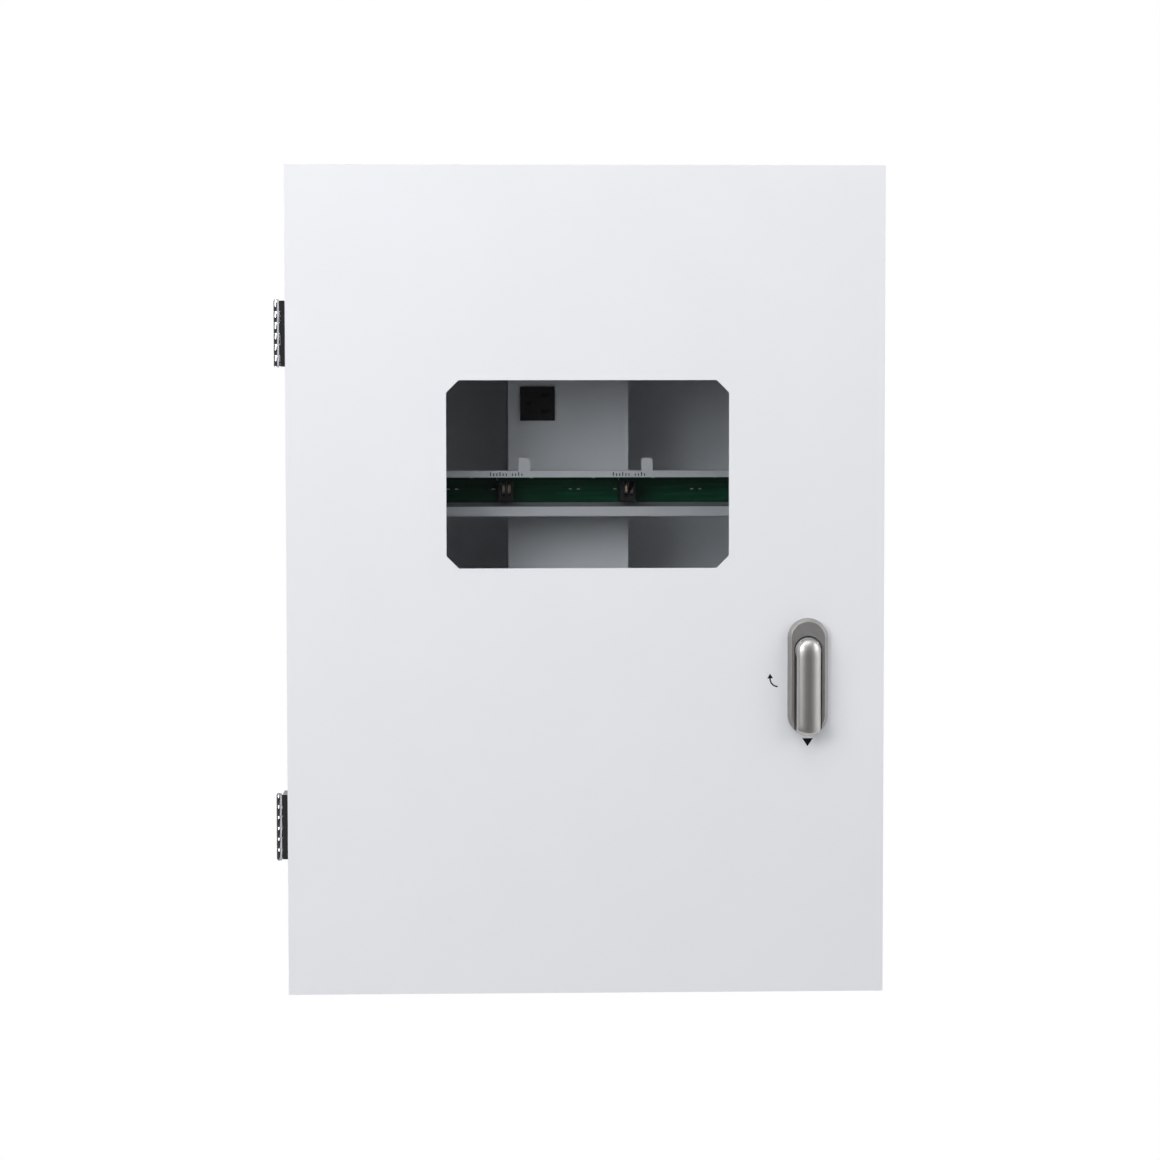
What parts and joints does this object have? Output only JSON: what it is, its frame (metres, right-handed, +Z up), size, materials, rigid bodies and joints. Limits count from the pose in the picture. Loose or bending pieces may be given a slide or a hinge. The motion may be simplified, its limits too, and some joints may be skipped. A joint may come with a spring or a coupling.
{
  "type": "fire alarm control panel",
  "caption": "Wall-hung steel cabinet with a hinged windowed door, lift-and-turn handle, card rack, main board, mains column and standby batteries.",
  "frame": {"origin": "centre of the cabinet's flat back, on the wall", "axes": "+Z up, the door faces -Y, +X to the right of a person facing the door; the wall lies on the +Y side"},
  "size_m": [0.5157, 0.2203, 0.7012],
  "materials": {
    "white_powder": "fine textured powder coat",
    "inner_powder": "fine textured powder coat",
    "zinc": "zinc plated, satin",
    "chrome": "polished",
    "satin_nickel": "satin nickel, fine brushed",
    "black_rubber": "matte foam and rubber",
    "clear_pane": "clear, polished",
    "green_board": "solder mask",
    "black_plastic": "moulded",
    "gold_contact": "bright",
    "relay_blue": "moulded",
    "terminal_green": "moulded",
    "terminal_grey": "moulded",
    "breaker_white": "moulded",
    "duct_grey": "extruded",
    "battery_case": "moulded, slightly glossy",
    "lead_sleeve": "smooth sleeve",
    "earth_sleeve": "smooth sleeve, striped",
    "button_red": "moulded",
    "button_yellow": "moulded"
  },
  "bodies": {
    "cabinet": {"cabinet_back": "white_powder", "cabinet_sides": "white_powder", "cabinet_ends": "white_powder", "gland_plate": "white_powder", "cable_grommets": "black_rubber", "blanking_plugs": "black_rubber", "mounting_plate": "inner_powder", "plate_nuts": "zinc", "column_cover": "inner_powder", "service_socket": "black_plastic", "psu_case": "zinc", "psu_board": "green_board", "rack_brackets": "zinc", "card_rail_upper": "zinc", "card_rail_lower": "zinc", "loop_card_1": "green_board", "loop_card_2": "green_board", "loop_card_3": "green_board", "line_jacks": "black_plastic", "jack_contacts": "gold_contact", "main_board": "green_board", "board_standoffs": "gold_contact", "board_chips": "black_plastic", "board_relays": "relay_blue", "board_terminals": "terminal_green", "buzzer": "black_plastic", "button_switches": "black_plastic", "din_rails": "zinc", "breaker_body": "breaker_white", "field_terminals": "terminal_grey", "earth_bar": "gold_contact", "battery_tray": "zinc", "battery_1": "battery_case", "battery_2": "battery_case", "battery_strap": "zinc", "wiring_duct": "duct_grey", "duct_cover": "duct_grey", "internal_leads": "lead_sleeve", "earth_lead": "earth_sleeve", "hinge_body_leaves": "chrome", "hinge_pins": "chrome", "pan_screws_m4": "zinc", "pan_screws_m3": "zinc"},
    "door": {"door_panel": "white_powder", "door_gasket": "black_rubber", "window_seal": "black_rubber", "window_pane": "clear_pane", "window_retainer": "zinc", "retainer_nuts": "zinc", "hinge_door_leaves": "chrome", "handle_base": "satin_nickel", "handle_nut": "zinc"},
    "latch": {"handle_spindle": "zinc", "tongue": "zinc", "tongue_screw": "zinc"},
    "lever": {"lever": "satin_nickel", "lever_pin": "zinc"},
    "breaker_toggle": {"breaker_toggle": "black_plastic"},
    "button_reset": {"button_reset": "button_red"},
    "button_silence": {"button_silence": "button_yellow"}
  },
  "joints": [
    {"name": "door_swing", "type": "hinge", "parent": "cabinet", "child": "door", "pos_m": [-0.2607, -0.1815, 0], "axis": [0, 0, -1], "range_deg": [0, 120], "deforming": ["earth_lead"]},
    {"name": "handle_turn", "type": "hinge", "parent": "door", "child": "latch", "pos_m": [0.1875, -0.203, -0.0586], "axis": [0, 1, 0], "range_deg": [0, 90]},
    {"name": "handle_lift", "type": "hinge", "parent": "latch", "child": "lever", "pos_m": [0.1875, -0.2145, -0.0525], "axis": [-1, 0, 0], "range_deg": [0, 35]},
    {"name": "breaker_switch", "type": "hinge", "parent": "cabinet", "child": "breaker_toggle", "pos_m": [0.0877, -0.072, -0.06], "axis": [1, 0, 0], "range_deg": [0, 60]},
    {"name": "reset_press", "type": "slide", "parent": "cabinet", "child": "button_reset", "axis": [0, 1, 0], "range_m": [0, 0.0015], "stiffness_N_per_m": 300},
    {"name": "silence_press", "type": "slide", "parent": "cabinet", "child": "button_silence", "axis": [0, 1, 0], "range_m": [0, 0.0015], "stiffness_N_per_m": 300}
  ]
}
